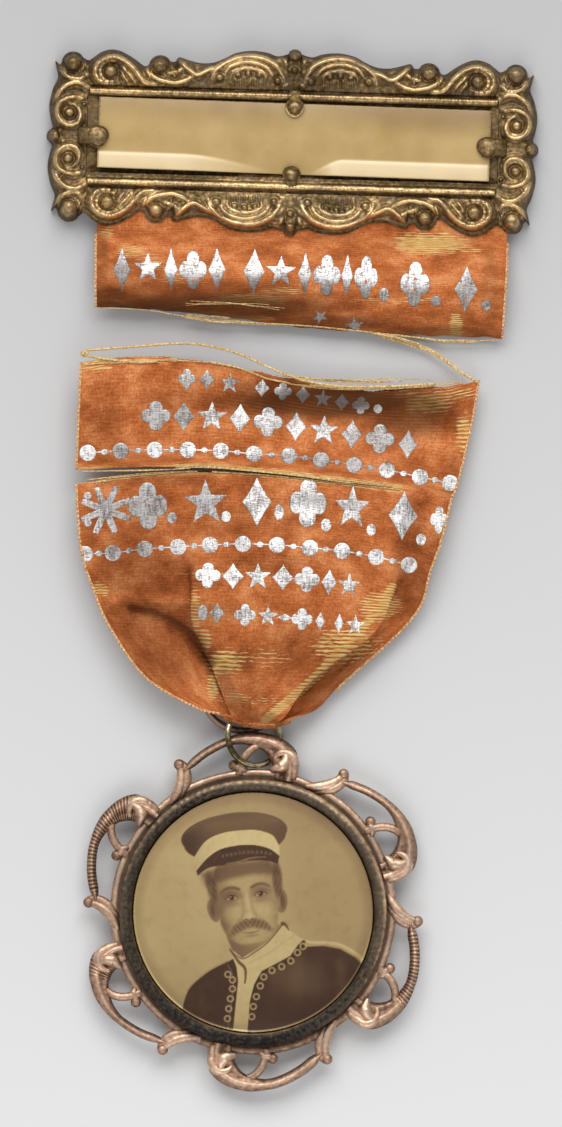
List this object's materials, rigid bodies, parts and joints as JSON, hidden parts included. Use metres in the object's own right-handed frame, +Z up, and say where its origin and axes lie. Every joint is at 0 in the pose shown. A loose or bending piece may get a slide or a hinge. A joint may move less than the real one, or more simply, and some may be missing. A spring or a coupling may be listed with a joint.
{
  "type": "ribbon badge",
  "caption": "Old ribbon badge lying face up: stamped brass bar with a bare card, torn and gathered silk ribbon, and a domed picture button in an openwork scroll frame on linked rings.",
  "frame": {"origin": "bottom centre of the badge's box, on the surface it lies on", "axes": "+X to the viewer's right along the bar, +Y from the button towards the bar, +Z up out of the badge's face"},
  "size_m": [0.0626, 0.1326, 0.0057],
  "materials": {
    "stamped_brass": "aged, dark in the hollows",
    "card": "semi-gloss, yellowed",
    "pin_brass": "plain",
    "silk": "satin weave, worn",
    "straw_thread": "matte",
    "copper_wire": "dull, pinkish",
    "brass_wire": "worn, semi-bright",
    "rose_gold": "gilt, dull in the hollows",
    "dark_rim": "blackened, worn along its crest",
    "picture": "glossy, clear over a sepia print",
    "back_pan": "plain, dull"
  },
  "bodies": {
    "root": {"bar_frame": "stamped_brass", "name_card": "card", "brooch_pin": "pin_brass", "ribbon_upper": "silk", "weft_strand": "straw_thread", "ribbon_lower": "silk", "hanger_ring": "copper_wire", "jump_ring": "brass_wire", "filigree": "rose_gold", "button_rim": "dark_rim", "picture": "picture", "button_back": "back_pan"}
  },
  "joints": []
}
